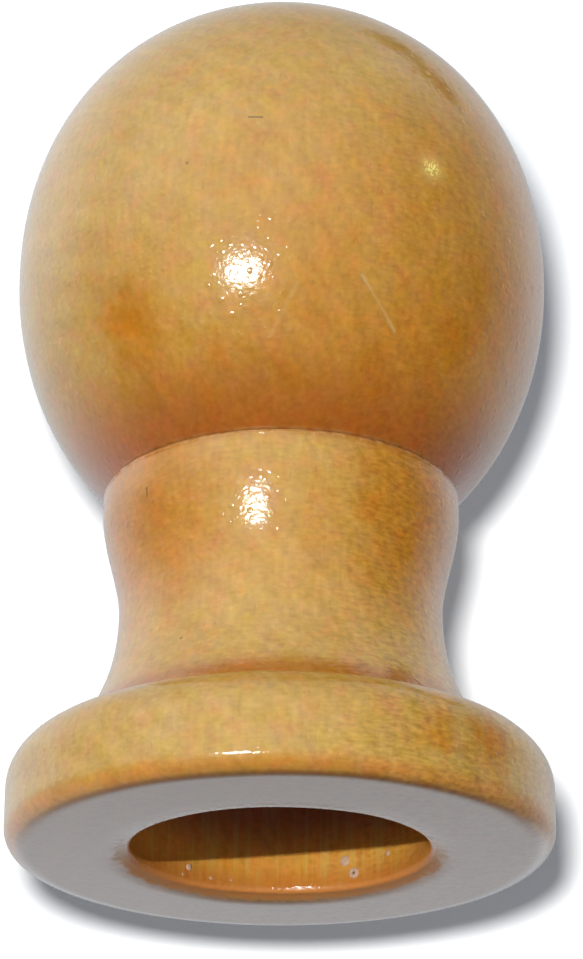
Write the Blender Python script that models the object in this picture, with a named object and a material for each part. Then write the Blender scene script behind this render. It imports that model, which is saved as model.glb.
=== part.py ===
"""A turned wooden finial for a flagpole.

A slightly tall ball stands on a waisted neck above a round flange, and a blind socket runs up
from the underside for the pole. It is one solid of revolution about the Z axis, with the flat
underside at Z = 0. Lengths are in metres.
"""
import math

import bmesh
import bpy

# The pole and the socket that slides over it
POLE_DIAMETER = 0.0254
POLE_CLEARANCE = 0.0003
SOCKET_DEPTH = 0.0160
SOCKET_END_FILLET = 0.0008
MOUTH_ROUND = 0.0007

# The flange, which reaches out past the foot of the neck
FLANGE_THICKNESS = 0.0096
FLANGE_OVERHANG = 0.0053
FLANGE_TOP_ROUND = 0.0043
FLANGE_BOTTOM_ROUND = 0.0018
ROUND_SHARE_LIMIT = 0.96

# The neck: a cove that flares to the flange, a waist, and a gently swollen collar
WAIST_WALL = 0.0015
FOOT_FLARE = 0.0042
COVE_HEIGHT = 0.0124
COVE_SLOPE = -0.80
COLLAR_SWELL = 0.0016
COLLAR_DROP = 0.0020
NECK_HEIGHT = 0.0239
NECK_EDGE_ROUND = 0.0004
BALL_SEAT_STEP = 0.0005

# The ball: its widest radius, how far it would reach below that line, and how far it rises
BALL_RADIUS = 0.02446
BALL_DEPTH = 0.0276
BALL_RISE = 0.0269
BALL_CROWN_POWER = 2.14

# How finely the outline and the turning are divided
TURN_STEPS = 64
BALL_UPPER_STEPS = 13
BALL_LOWER_STEPS = 9
COVE_STEPS = 7
COLLAR_STEPS = 5
LARGE_ROUND_STEPS = 5
SMALL_ROUND_STEPS = 3
MERGE_DISTANCE = 1e-7
SHARP_ANGLE = 35

# Sizes that follow from the ones above
SOCKET_RADIUS = POLE_DIAMETER / 2 + POLE_CLEARANCE
WAIST_RADIUS = SOCKET_RADIUS + WAIST_WALL
FOOT_RADIUS = WAIST_RADIUS + FOOT_FLARE
FLANGE_RADIUS = FOOT_RADIUS + FLANGE_OVERHANG
COLLAR_RADIUS = WAIST_RADIUS + COLLAR_SWELL
NECK_TOP_Z = FLANGE_THICKNESS + NECK_HEIGHT
SEAT_RADIUS = COLLAR_RADIUS - BALL_SEAT_STEP

LACQUERED_WOOD = (0.62, 0.36, 0.13, 1.0)
LACQUER_ROUGHNESS = 0.28


def remove_scene_objects():
    """Clears the scene so that it holds the finial alone."""
    for scene_object in list(bpy.data.objects):
        bpy.data.objects.remove(scene_object, do_unlink=True)


def arc(centre, radius, start, end, steps):
    """Points on an arc in the (radius, height) plane, from one angle in degrees to another."""
    points = []
    for step in range(steps + 1):
        angle = math.radians(start + (end - start) * step / steps)
        points.append((centre[0] + radius * math.cos(angle), centre[1] + radius * math.sin(angle)))
    return points


def sweep(lower, upper, lower_slope, steps):
    """A smooth curve down from upper, where it runs straight down, to lower.

    lower_slope is the radius gained there for each unit of height.
    """
    points = []
    height = upper[1] - lower[1]
    for step in range(steps + 1):
        t = 1 - step / steps
        rise = t * t * (3 - 2 * t)
        radius = lower[0] + (upper[0] - lower[0]) * rise
        radius += lower_slope * height * t * (1 - t) ** 2
        points.append((radius, lower[1] + height * t))
    return points


def ball_profile():
    """The ball from its crown down to its seat on the neck."""
    seat_sine = math.sqrt(1 - (SEAT_RADIUS / BALL_RADIUS) ** 2)
    widest_z = NECK_TOP_Z + BALL_DEPTH * seat_sine
    power = 2 / BALL_CROWN_POWER
    points = []
    for step in range(BALL_UPPER_STEPS):
        angle = math.pi / 2 * (1 - step / BALL_UPPER_STEPS)
        radius = 0.0 if step == 0 else BALL_RADIUS * math.cos(angle) ** power
        points.append((radius, widest_z + BALL_RISE * math.sin(angle) ** power))
    seat_angle = math.asin(seat_sine)
    for step in range(BALL_LOWER_STEPS + 1):
        angle = seat_angle * step / BALL_LOWER_STEPS
        points.append((BALL_RADIUS * math.cos(angle), widest_z - BALL_DEPTH * math.sin(angle)))
    return points


def neck_profile():
    """The neck from its rounded top edge down to the corner where its cove meets the flange."""
    collar_z = NECK_TOP_Z - COLLAR_DROP
    waist_z = FLANGE_THICKNESS + COVE_HEIGHT
    edge_centre = (COLLAR_RADIUS - NECK_EDGE_ROUND, NECK_TOP_Z - NECK_EDGE_ROUND)
    collar = (COLLAR_RADIUS, collar_z)
    waist = (WAIST_RADIUS, waist_z)
    foot = (FOOT_RADIUS, FLANGE_THICKNESS)
    points = arc(edge_centre, NECK_EDGE_ROUND, 90, 0, SMALL_ROUND_STEPS)
    points += sweep(waist, collar, 0.0, COLLAR_STEPS)
    points += sweep(foot, waist, COVE_SLOPE, COVE_STEPS)[1:]
    return points


def flange_profile():
    """The flange from its top edge, down its rounded rim, to the edge of the flat underside."""
    room = FLANGE_THICKNESS - FLANGE_BOTTOM_ROUND
    top_round = min(FLANGE_TOP_ROUND, ROUND_SHARE_LIMIT * room, ROUND_SHARE_LIMIT * FLANGE_OVERHANG)
    top_centre = (FLANGE_RADIUS - top_round, FLANGE_THICKNESS - top_round)
    bottom_centre = (FLANGE_RADIUS - FLANGE_BOTTOM_ROUND, FLANGE_BOTTOM_ROUND)
    points = arc(top_centre, top_round, 90, 0, LARGE_ROUND_STEPS)
    points += arc(bottom_centre, FLANGE_BOTTOM_ROUND, 0, -90, SMALL_ROUND_STEPS)
    return points


def socket_profile():
    """The socket from its rounded mouth up the straight wall to the middle of its flat end."""
    mouth_centre = (SOCKET_RADIUS + MOUTH_ROUND, MOUTH_ROUND)
    end_centre = (SOCKET_RADIUS - SOCKET_END_FILLET, SOCKET_DEPTH - SOCKET_END_FILLET)
    points = arc(mouth_centre, MOUTH_ROUND, -90, -180, SMALL_ROUND_STEPS)
    points += arc(end_centre, SOCKET_END_FILLET, 0, 90, SMALL_ROUND_STEPS)
    points.append((0.0, SOCKET_DEPTH))
    return points


def turned_mesh(name, profile):
    """Turns a profile of (radius, height) points once round the Z axis into a closed mesh."""
    shape = bmesh.new()
    line = [shape.verts.new((radius, 0.0, height)) for radius, height in profile]
    edges = [shape.edges.new(pair) for pair in zip(line, line[1:])]
    bmesh.ops.spin(shape, geom=line + edges, axis=(0, 0, 1), cent=(0, 0, 0),
                   angle=2 * math.pi, steps=TURN_STEPS, use_merge=True)
    bmesh.ops.remove_doubles(shape, verts=shape.verts, dist=MERGE_DISTANCE)
    bmesh.ops.recalc_face_normals(shape, faces=shape.faces)
    mesh = bpy.data.meshes.new(name)
    shape.to_mesh(mesh)
    shape.free()
    mesh.shade_smooth()
    mesh.set_sharp_from_angle(angle=math.radians(SHARP_ANGLE))
    return mesh


def lacquered_wood():
    """Pale close-grained wood under a clear amber lacquer."""
    material = bpy.data.materials.new("lacquered_wood")
    material.use_nodes = True
    shader = material.node_tree.nodes["Principled BSDF"]
    shader.inputs["Base Color"].default_value = LACQUERED_WOOD
    shader.inputs["Roughness"].default_value = LACQUER_ROUGHNESS
    shader.inputs["Metallic"].default_value = 0.0
    material.diffuse_color = LACQUERED_WOOD
    return material


def build_finial():
    """The whole finial, turned from one piece of wood."""
    profile = ball_profile() + neck_profile() + flange_profile() + socket_profile()
    mesh = turned_mesh("finial", profile)
    mesh.materials.append(lacquered_wood())
    finial = bpy.data.objects.new("finial", mesh)
    bpy.context.scene.collection.objects.link(finial)


remove_scene_objects()
build_finial()
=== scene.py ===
# %% [markdown]
# # A turned and lacquered flagpole finial
#
# The finial is one piece of wood, turned on a lathe: a ball on a waisted neck above a round flange,
# with a socket bored into its underside for the end of a pole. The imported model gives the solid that
# everything has to fit. This lesson makes the fine surface that stands in its place: the smooth
# outline, the wood under amber lacquer, and the light that shows both.

# %% Load the frame
import math

import bpy
from mathutils import Euler, Matrix, Vector, noise
from mathutils.bvhtree import BVHTree


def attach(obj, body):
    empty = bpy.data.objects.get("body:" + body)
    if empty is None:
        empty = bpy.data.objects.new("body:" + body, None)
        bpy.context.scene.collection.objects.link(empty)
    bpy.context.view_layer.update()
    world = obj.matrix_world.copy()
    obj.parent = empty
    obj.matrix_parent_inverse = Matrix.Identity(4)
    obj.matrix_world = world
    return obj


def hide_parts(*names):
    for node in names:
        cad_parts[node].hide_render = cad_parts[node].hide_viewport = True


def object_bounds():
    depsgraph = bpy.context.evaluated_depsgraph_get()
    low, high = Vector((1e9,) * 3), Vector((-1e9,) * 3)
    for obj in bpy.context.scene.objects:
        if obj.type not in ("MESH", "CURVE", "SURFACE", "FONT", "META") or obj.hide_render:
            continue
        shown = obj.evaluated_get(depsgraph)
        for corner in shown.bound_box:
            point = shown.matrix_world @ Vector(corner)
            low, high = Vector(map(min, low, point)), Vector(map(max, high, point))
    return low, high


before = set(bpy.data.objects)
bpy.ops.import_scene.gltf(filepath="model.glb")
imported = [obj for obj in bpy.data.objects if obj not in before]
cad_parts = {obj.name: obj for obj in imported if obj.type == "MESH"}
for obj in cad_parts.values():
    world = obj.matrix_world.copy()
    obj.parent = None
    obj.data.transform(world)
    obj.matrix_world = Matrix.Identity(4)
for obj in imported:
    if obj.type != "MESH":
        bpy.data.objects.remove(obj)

MM = 0.001
BODY = "root"
NODE = "finial"


def plain_box(bounds):
    """A box's two corners as plain lists of numbers."""
    return [[float(number) for number in corner] for corner in bounds]


cad_box = plain_box(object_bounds())
print("CAD box in mm:", [[round(number / MM, 2) for number in corner] for corner in cad_box])

# %% [markdown]
# ## The camera
#
# The finial is seen from a little below its own flange, so that the underside and the mouth of the
# socket show. A camera could be turned by hand until it looks right, but a fitted one keeps every
# later pixel honest: its distance, its tilt and its lens were worked out from the circles of the
# ball, the neck and the flange. The lens is long and close, as for a small thing on a table.

# %% Place the camera
FRAME_WIDTH = 583
FRAME_HEIGHT = 959
SENSOR_MM = 36.0
FOCAL_PIXELS = 3291.5
CAMERA_DISTANCE = 300.0
CAMERA_DROP_ANGLE = 23.47
AIM_HEIGHT = 36.0
CAMERA_TILT = 0.08
CAMERA_PAN = 0.18
CAMERA_ROLL = 0.19
NEAREST_SEEN = 0.01
FARTHEST_SEEN = 20.0


def make_camera():
    """The camera at the fitted place, looking up at the finial's axis."""
    lens = bpy.data.cameras.new("camera")
    lens.sensor_width = SENSOR_MM
    lens.lens = FOCAL_PIXELS / FRAME_HEIGHT * SENSOR_MM
    lens.clip_start = NEAREST_SEEN
    lens.clip_end = FARTHEST_SEEN
    drop = math.radians(CAMERA_DROP_ANGLE)
    back = -CAMERA_DISTANCE * math.cos(drop) * MM
    height = (AIM_HEIGHT - CAMERA_DISTANCE * math.sin(drop)) * MM
    look = Euler((math.radians(90) + drop, 0.0, 0.0)).to_matrix()
    nudges = [math.radians(angle) for angle in (-CAMERA_TILT, -CAMERA_PAN, CAMERA_ROLL)]
    turn = look @ Euler(nudges).to_matrix()
    camera = bpy.data.objects.new("camera", lens)
    bpy.context.scene.collection.objects.link(camera)
    camera.matrix_world = Matrix.Translation((0.0, back, height)) @ turn.to_4x4()
    bpy.context.scene.camera = camera
    return camera


camera = make_camera()
print("lens in mm:", round(camera.data.lens, 2))

# %% [markdown]
# ## The outline
#
# A turner cuts a finial to an outline: a curve of radius against height that is spun round the axis.
# The outline could be a long list of points, but the real one is a few plain curves that meet, so it
# is worked out from them, from the crown of the ball down to the underside and up into the socket.
# All lengths are in millimetres.

# %% Name the sizes of the outline
POLE_DIAMETER = 25.4
POLE_CLEARANCE = 0.3
SOCKET_RADIUS = POLE_DIAMETER / 2 + POLE_CLEARANCE
SOCKET_DEPTH = 16.0
SOCKET_END_FILLET = 0.8
MOUTH_ROUND = 0.7
FLANGE_THICKNESS = 9.6
FLANGE_TOP_ROUND = 4.3
FLANGE_BOTTOM_ROUND = 1.8
WAIST_WALL = 1.5
WAIST_RADIUS = SOCKET_RADIUS + WAIST_WALL
FOOT_FLARE = 4.2
FOOT_RADIUS = WAIST_RADIUS + FOOT_FLARE
FLANGE_OVERHANG = 5.3
FLANGE_RADIUS = FOOT_RADIUS + FLANGE_OVERHANG
COVE_HEIGHT = 12.4
COVE_SLOPE = -0.80
COLLAR_SWELL = 1.6
COLLAR_RADIUS = WAIST_RADIUS + COLLAR_SWELL
COLLAR_DROP = 2.0
NECK_HEIGHT = 23.9
NECK_TOP = FLANGE_THICKNESS + NECK_HEIGHT
NECK_EDGE_ROUND = 0.4
SEAT_STEP = 0.5
SEAT_RADIUS = COLLAR_RADIUS - SEAT_STEP
BALL_RADIUS = cad_box[1][0] / MM
BALL_DEPTH = 27.6
BALL_RISE = 26.9
BALL_CROWN_POWER = 2.14
print("radius in mm of the ball:", round(BALL_RADIUS, 2), "and the flange:", round(FLANGE_RADIUS, 2))

# %% Curves for the outline
SMALL_ROUND_RINGS = 8


def arc(centre, radius, start, end, steps):
    """Points on an arc in the (radius, height) plane, from one angle in degrees to another."""
    angles = [math.radians(start + (end - start) * step / steps) for step in range(steps + 1)]
    return [(centre[0] + radius * math.cos(a), centre[1] + radius * math.sin(a)) for a in angles]


def line(start, end, steps):
    """Points along a straight line, without its two ends."""
    shares = [step / steps for step in range(1, steps)]
    return [tuple(a + (b - a) * share for a, b in zip(start, end)) for share in shares]


def sweep(lower, upper, lower_slope, steps):
    """A smooth curve down from upper, where it runs straight down, to lower."""
    points = []
    height = upper[1] - lower[1]
    for step in range(steps + 1):
        t = 1 - step / steps
        radius = lower[0] + (upper[0] - lower[0]) * t * t * (3 - 2 * t)
        radius += lower_slope * height * t * (1 - t) ** 2
        points.append((radius, lower[1] + height * t))
    return points


small_round = arc((0.0, 0.0), 1.0, 90, 0, SMALL_ROUND_RINGS)
print("points on a small round:", len(small_round))

# %% [markdown]
# ## From the crown to the socket
#
# The ball is two halves that meet at its widest ring, the upper one a little squarer. Below it the
# neck swells to a collar, draws in to a waist and sweeps out to the round-edged flange. Each has a
# function of its own, so that one can be changed without touching the next.

# %% The ball's curve
BALL_UPPER_RINGS = 92
BALL_LOWER_RINGS = 50


def ball_outline():
    """The ball from its crown down to its seat on the neck."""
    seat_sine = math.sqrt(1 - (SEAT_RADIUS / BALL_RADIUS) ** 2)
    widest = NECK_TOP + BALL_DEPTH * seat_sine
    power = 2 / BALL_CROWN_POWER
    points = [(0.0, widest + BALL_RISE)]
    for step in range(1, BALL_UPPER_RINGS):
        angle = math.pi / 2 * (1 - step / BALL_UPPER_RINGS)
        points.append((BALL_RADIUS * math.cos(angle) ** power,
                       widest + BALL_RISE * math.sin(angle) ** power))
    for step in range(BALL_LOWER_RINGS + 1):
        angle = math.asin(seat_sine) * step / BALL_LOWER_RINGS
        points.append((BALL_RADIUS * math.cos(angle), widest - BALL_DEPTH * math.sin(angle)))
    return points


print("points on the ball:", len(ball_outline()))

# %% The neck's curves
COLLAR_RINGS = 26
COVE_RINGS = 34


def neck_outline():
    """The neck from its rounded top edge down to the corner where its cove meets the flange."""
    edge_centre = (COLLAR_RADIUS - NECK_EDGE_ROUND, NECK_TOP - NECK_EDGE_ROUND)
    waist = (WAIST_RADIUS, FLANGE_THICKNESS + COVE_HEIGHT)
    points = arc(edge_centre, NECK_EDGE_ROUND, 90, 0, SMALL_ROUND_RINGS)
    points += sweep(waist, (COLLAR_RADIUS, NECK_TOP - COLLAR_DROP), 0.0, COLLAR_RINGS)
    points += sweep((FOOT_RADIUS, FLANGE_THICKNESS), waist, COVE_SLOPE, COVE_RINGS)[1:]
    return points


print("points on the neck:", len(neck_outline()))

# %% The flange's curves
LARGE_ROUND_RINGS = 20
SIDE_RINGS = 9


def flange_outline():
    """The flange from its top edge down its rounded rim to the edge of the flat underside."""
    top = (FLANGE_RADIUS - FLANGE_TOP_ROUND, FLANGE_THICKNESS - FLANGE_TOP_ROUND)
    bottom = (FLANGE_RADIUS - FLANGE_BOTTOM_ROUND, FLANGE_BOTTOM_ROUND)
    points = arc(top, FLANGE_TOP_ROUND, 90, 0, LARGE_ROUND_RINGS)
    points += line((FLANGE_RADIUS, top[1]), (FLANGE_RADIUS, bottom[1]), SIDE_RINGS)
    points += arc(bottom, FLANGE_BOTTOM_ROUND, 0, -90, SMALL_ROUND_RINGS)
    return points


print("points on the flange:", len(flange_outline()))

# %% The curves of the underside and the socket
UNDERSIDE_RINGS = 16
BORE_RINGS = 40
SOCKET_END_RINGS = 10


def socket_outline():
    """The flat underside, the rounded mouth and the socket, up to the middle of its flat end."""
    mouth = (SOCKET_RADIUS + MOUTH_ROUND, MOUTH_ROUND)
    end = (SOCKET_RADIUS - SOCKET_END_FILLET, SOCKET_DEPTH - SOCKET_END_FILLET)
    points = line((FLANGE_RADIUS - FLANGE_BOTTOM_ROUND, 0.0), (mouth[0], 0.0), UNDERSIDE_RINGS)
    points += arc(mouth, MOUTH_ROUND, -90, -180, SMALL_ROUND_RINGS)
    points += line((SOCKET_RADIUS, mouth[1]), (SOCKET_RADIUS, end[1]), BORE_RINGS)
    points += arc(end, SOCKET_END_FILLET, 0, 90, SMALL_ROUND_RINGS)
    points += line((end[0], SOCKET_DEPTH), (0.0, SOCKET_DEPTH), SOCKET_END_RINGS)
    points.append((0.0, SOCKET_DEPTH))
    return points


print("points on the underside and in the socket:", len(socket_outline()))

# %% Join the curves
SAME_PLACE = 1e-6


def without_repeats(points):
    """The points, each one only once where two curves share an end."""
    kept = [points[0]]
    for point in points[1:]:
        if math.dist(point, kept[-1]) > SAME_PLACE:
            kept.append(point)
    return kept


outline = without_repeats(ball_outline() + neck_outline() + flange_outline() + socket_outline())
print("outline points:", len(outline), "height in mm:", round(outline[0][1], 2))

# %% [markdown]
# ## The turned surface
#
# The outline is spun into rings of points. A lathe leaves a true circle, but sanding by hand and the
# flow of the lacquer leave it a few hundredths of a millimetre uneven, which is what makes the
# reflections on real turned work waver, and the pole has worn the lip of the socket away. All of it
# is moved into the mesh itself, always towards the wood, so that the finial never grows past the
# solid it stands for. The rest of the underside stays flat, because the finial stands on it.

# %% How uneven the surface is
SANDING_DEPTH = 0.035
SANDING_LENGTH = 9.0
RIPPLE_DEPTH = 0.006
RIPPLE_LENGTH = 2.6
DRILL_DEPTH = 0.04
DRILL_WIDTH = 1.1
DRILL_LENGTH = 14.0
LIP_WEAR_DEPTH = 0.46
LIP_WEAR_WIDTH = 1.9
LIP_WEAR_LENGTH = 7.0
LIP_WEAR_BESIDE = 0.55
LIP_WEAR_FAR = 0.45
LIP_WEAR_EVEN = 0.9
LIP_WEAR_PATCHY = 0.4
FLAT_BELOW = 0.02


def lip_wear(place, radius):
    """How deep the lip of the socket is worn in the direction of a place: most on its far side."""
    far_share = LIP_WEAR_BESIDE + LIP_WEAR_FAR * place.y / max(radius, 1.0)
    patches = LIP_WEAR_EVEN + LIP_WEAR_PATCHY * noise.noise(place / LIP_WEAR_LENGTH)
    return LIP_WEAR_DEPTH * far_share * patches


def unevenness(place):
    """How far the surface lies inside the true outline at a place, in millimetres."""
    radius = math.hypot(place.x, place.y)
    lip = SOCKET_RADIUS + MOUTH_ROUND
    worn = lip_wear(place, radius)
    if place.z < FLAT_BELOW and radius > lip - MOUTH_ROUND / 2:
        near_lip = max(0.0, 1 - max(0.0, radius - lip) / LIP_WEAR_WIDTH)
        return worn * near_lip * near_lip
    in_socket = place.z < SOCKET_DEPTH and radius < lip
    if in_socket:
        stretched = Vector((place.x / DRILL_WIDTH, place.y / DRILL_WIDTH, place.z / DRILL_LENGTH))
        near_mouth = max(0.0, 1 - place.z / (2 * MOUTH_ROUND))
        drilled = max(0.0, DRILL_DEPTH * (0.5 + noise.noise(stretched)))
        return drilled * (1 - near_mouth) + worn * near_mouth * near_mouth
    slow = noise.noise(place / SANDING_LENGTH)
    quick = noise.noise(place / RIPPLE_LENGTH)
    return max(0.0, SANDING_DEPTH * (0.5 + slow) + RIPPLE_DEPTH * (1 + quick))


front_of_ball = Vector((0.0, -BALL_RADIUS, NECK_TOP + BALL_RISE))
print("sanded off the front of the ball in mm:", round(unevenness(front_of_ball), 3))

# %% Turn the outline into a mesh
TURN_STEPS = 288
SHARP_ANGLE = 35


def outline_normals(points):
    """The direction out of the wood at each point of the outline."""
    normals = []
    for before, after in zip([points[0]] + points[:-1], points[1:] + [points[-1]]):
        along = Vector((after[0] - before[0], after[1] - before[1])).normalized()
        normals.append((-along[1], along[0]))
    return normals


def turned_mesh(name, points):
    """Spins the outline once round the Z axis into a closed mesh, in metres."""
    places = []
    rings = []
    for (radius, height), (out, up) in zip(points, outline_normals(points)):
        if radius < SAME_PLACE:
            rings.append([len(places)] * TURN_STEPS)
            places.append((0.0, 0.0, height * MM))
            continue
        rings.append(range(len(places), len(places) + TURN_STEPS))
        for step in range(TURN_STEPS):
            angle = 2 * math.pi * step / TURN_STEPS
            side = Vector((math.cos(angle), math.sin(angle), 0.0))
            place = side * radius + Vector((0.0, 0.0, height))
            inward = side * out + Vector((0.0, 0.0, up))
            places.append((place - inward * unevenness(place)) * MM)
    faces = []
    for upper, lower in zip(rings, rings[1:]):
        for step in range(TURN_STEPS):
            following = (step + 1) % TURN_STEPS
            corners = (upper[step], lower[step], lower[following], upper[following])
            faces.append(tuple(dict.fromkeys(corners)))
    mesh = bpy.data.meshes.new(name)
    mesh.from_pydata(places, [], faces)
    mesh.validate()
    mesh.shade_smooth()
    mesh.set_sharp_from_angle(angle=math.radians(SHARP_ANGLE))
    return mesh


turned = turned_mesh("turned_finial", outline)
print("points:", len(turned.vertices), "faces:", len(turned.polygons))

# %% Put the finial in the frame
def add_piece(name, mesh):
    """An object that belongs to the finial and rides on its one body."""
    piece = bpy.data.objects.new(name, mesh)
    bpy.context.scene.collection.objects.link(piece)
    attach(piece, BODY)
    return piece


finial = add_piece("turned_finial", turned)
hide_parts(NODE)
print("piece:", finial.name, "in place of:", NODE)

# %% Compare the surface with the solid it stands for
surface = BVHTree.FromObject(finial, bpy.context.evaluated_depsgraph_get())
gaps = [surface.find_nearest(corner.co)[3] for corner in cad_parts[NODE].data.vertices]
print("largest gap to a corner of the solid in mm:", round(max(gaps) / MM, 3))

# %% [markdown]
# ## Expressions for materials
#
# A material in Blender is a tree of nodes. Placing each node and link by hand makes long code that
# hides the idea, so a small class stands for one socket, and its operators add the Math nodes. The
# wood can then be written as sums and products of masks. Every other kind of node comes from one
# method, which takes the node's type, its settings and what goes into its sockets.

# %% A socket that takes part in expressions
class Wire:
    """A socket of a node tree, or the bare tree, which adds nodes as it is used."""

    def __init__(self, tree, socket=None):
        self.tree = tree
        self.socket = socket

    def node(self, kind, settings=None, inputs=None, output=0):
        """Adds a node with its settings, then its inputs' values or links, and wraps one output."""
        made = self.tree.nodes.new(kind)
        for name, value in (settings or {}).items():
            setattr(made, name, value)
        for name, value in (inputs or {}).items():
            if isinstance(value, Wire):
                self.tree.links.new(value.socket, made.inputs[name])
            else:
                made.inputs[name].default_value = value
        return Wire(self.tree, made.outputs[output])

    def math(self, operation, first, second=0.0):
        """A Math node on two numbers, either of which may be a wire."""
        return self.node("ShaderNodeMath", {"operation": operation}, {0: first, 1: second})

    def __add__(self, other):
        return self.math("ADD", self, other)

    def __radd__(self, other):
        return self.math("ADD", other, self)

    def __sub__(self, other):
        return self.math("SUBTRACT", self, other)

    def __rsub__(self, other):
        return self.math("SUBTRACT", other, self)

    def __mul__(self, other):
        return self.math("MULTIPLY", self, other)

    def __rmul__(self, other):
        return self.math("MULTIPLY", other, self)

    def __truediv__(self, other):
        return self.math("DIVIDE", self, other)

    def __rtruediv__(self, other):
        return self.math("DIVIDE", other, self)

    def __pow__(self, other):
        return self.math("POWER", self, other)

    def __rpow__(self, other):
        return self.math("POWER", other, self)


print("the class for node expressions is ready")

# %% Helpers for masks
def fade(value, low, high):
    """A smooth step from 0 where the value is low to 1 where it is high."""
    return value.node("ShaderNodeMapRange", {"interpolation_type": "SMOOTHSTEP"},
                      {"Value": value, "From Min": low, "From Max": high})


def at_least(value, other):
    """The larger of two numbers."""
    return value.math("MAXIMUM", value, other)


def at_most(value, other):
    """The smaller of two numbers."""
    return value.math("MINIMUM", value, other)


def size_of(value):
    """A number without its sign."""
    return value.math("ABSOLUTE", value)


print("helpers for masks are ready")

# %% Helpers for colours
def mix_colour(share, first, second, blend="MIX"):
    """The first colour, turned into the second by the share, or blended with it."""
    wire = next(value for value in (share, first, second) if isinstance(value, Wire))
    colours = [colour if isinstance(colour, Wire) else (*colour, 1.0) for colour in (first, second)]
    settings = {"data_type": "RGBA", "blend_type": blend}
    return wire.node("ShaderNodeMix", settings, {0: share, 6: colours[0], 7: colours[1]}, 2)


def painted(colour, value, look):
    """The colour with another over it, which comes in as the value goes from low to high."""
    low, high, strength, tint = look
    return mix_colour(fade(value, low, high) * strength, colour, tint)


def grey(value):
    """A number as a grey colour, for blending with a colour."""
    return value.node("ShaderNodeCombineColor", {}, {0: value, 1: value, 2: value})


print("helpers for colours are ready")

# %% Helpers for places and noises
def vector_math(operation, first, second=(0.0, 0.0, 0.0), output=0):
    """A Vector Math node on two vectors, of which the first is a wire."""
    return first.node("ShaderNodeVectorMath", {"operation": operation}, {0: first, 1: second}, output)


def rightwards(place):
    """How far the place is to the right of the axis."""
    return vector_math("DOT_PRODUCT", place, (1.0, 0.0, 0.0), 1)


def backwards(place):
    """How far the place is behind the axis."""
    return vector_math("DOT_PRODUCT", place, (0.0, 1.0, 0.0), 1)


def stretched(place, width, depth, height):
    """The place measured in units of three lengths, so that a noise on it is stretched."""
    return vector_math("MULTIPLY", place, (1 / width, 1 / depth, 1 / height))


def cloud(place, size=1.0, detail=2.0, roughness=0.5):
    """A soft noise from 0 to 1, whose patches are about the size given."""
    settings = {"noise_dimensions": "3D", "normalize": True}
    inputs = {"Vector": place, "Scale": 1 / size, "Detail": detail, "Roughness": roughness}
    return place.node("ShaderNodeTexNoise", settings, inputs)


def moved(place, x, y, z):
    """The place shifted, so that two noises on it don't repeat each other."""
    return vector_math("ADD", place, (x, y, z))


print("helpers for places are ready")

# %% [markdown]
# ## Marks that the surface carries
#
# A few marks tell this finial from any other: a scratch on the ball with a faint one beside it, two
# short dark ticks, two pinholes and a cluster of golden fibres, whose sparkle is a painted glint that
# also glows. Each could be painted on an image, but a mark here is a point of the surface, or a line
# between two. The points are found by looking through the camera at a pixel, and the marks then stay
# on the wood from every side.

# %% Look through the camera
def seen_through(pixel):
    """The place on the finial, in millimetres, and its normal, where the camera sees a pixel."""
    across = (pixel[0] - FRAME_WIDTH / 2) / FOCAL_PIXELS
    down = (pixel[1] - FRAME_HEIGHT / 2) / FOCAL_PIXELS
    ray = camera.matrix_world.to_3x3() @ Vector((across, -down, -1.0))
    place, normal, _, _ = surface.ray_cast(camera.matrix_world.translation, ray.normalized())
    return place / MM, normal


PICTURE_MIDDLE = (FRAME_WIDTH / 2, FRAME_HEIGHT / 2)
print("height at the middle of the picture in mm:", round(seen_through(PICTURE_MIDDLE)[0].z, 1))

# %% Find the marks on the surface
SCRATCH_TOP = (362, 275)
SCRATCH_FOOT = (394, 331)
FAINT_SCRATCH_TOP = (297, 283)
FAINT_SCRATCH_FOOT = (271, 335)
CROWN_TICK_LEFT = (249, 117)
CROWN_TICK_RIGHT = (262, 117)
NECK_TICK_TOP = (147, 488)
NECK_TICK_FOOT = (147, 496)
BALL_PINHOLE = (187, 163)
NECK_PINHOLE = (181, 638)
GOLDEN_FIBRE_GLINT = (432, 168)

scratch = (seen_through(SCRATCH_TOP)[0], seen_through(SCRATCH_FOOT)[0])
faint_scratch = (seen_through(FAINT_SCRATCH_TOP)[0], seen_through(FAINT_SCRATCH_FOOT)[0])
crown_tick = (seen_through(CROWN_TICK_LEFT)[0], seen_through(CROWN_TICK_RIGHT)[0])
neck_tick = (seen_through(NECK_TICK_TOP)[0], seen_through(NECK_TICK_FOOT)[0])
pinholes = [seen_through(pixel)[0] for pixel in (BALL_PINHOLE, NECK_PINHOLE)]
golden_fibre_glint = seen_through(GOLDEN_FIBRE_GLINT)[0]
print("scratch length in mm:", round((scratch[1] - scratch[0]).length, 1))

# %% Measure from a mark
def distance_to_line(place, ends):
    """How far the place is from the line between two points."""
    start, end = ends
    along = end - start
    from_start = vector_math("SUBTRACT", place, tuple(start))
    share = vector_math("DOT_PRODUCT", from_start, tuple(along / along.length_squared), 1)
    share = at_least(at_most(share, 1.0), 0.0)
    foot = from_start.node("ShaderNodeVectorMath", {"operation": "SCALE"},
                           {0: tuple(along), "Scale": share})
    return vector_math("DISTANCE", from_start, foot, 1)


def distance_to_point(place, point):
    """How far the place is from a point."""
    return vector_math("DISTANCE", place, tuple(point), 1)


def distance_to_ring(radius, height, ring):
    """How far the place is from a ring round the axis, given by its radius and height."""
    across = radius - ring[0]
    along = height - ring[1]
    return (across * across + along * along) ** 0.5


print("helpers for distances are ready")
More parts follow.
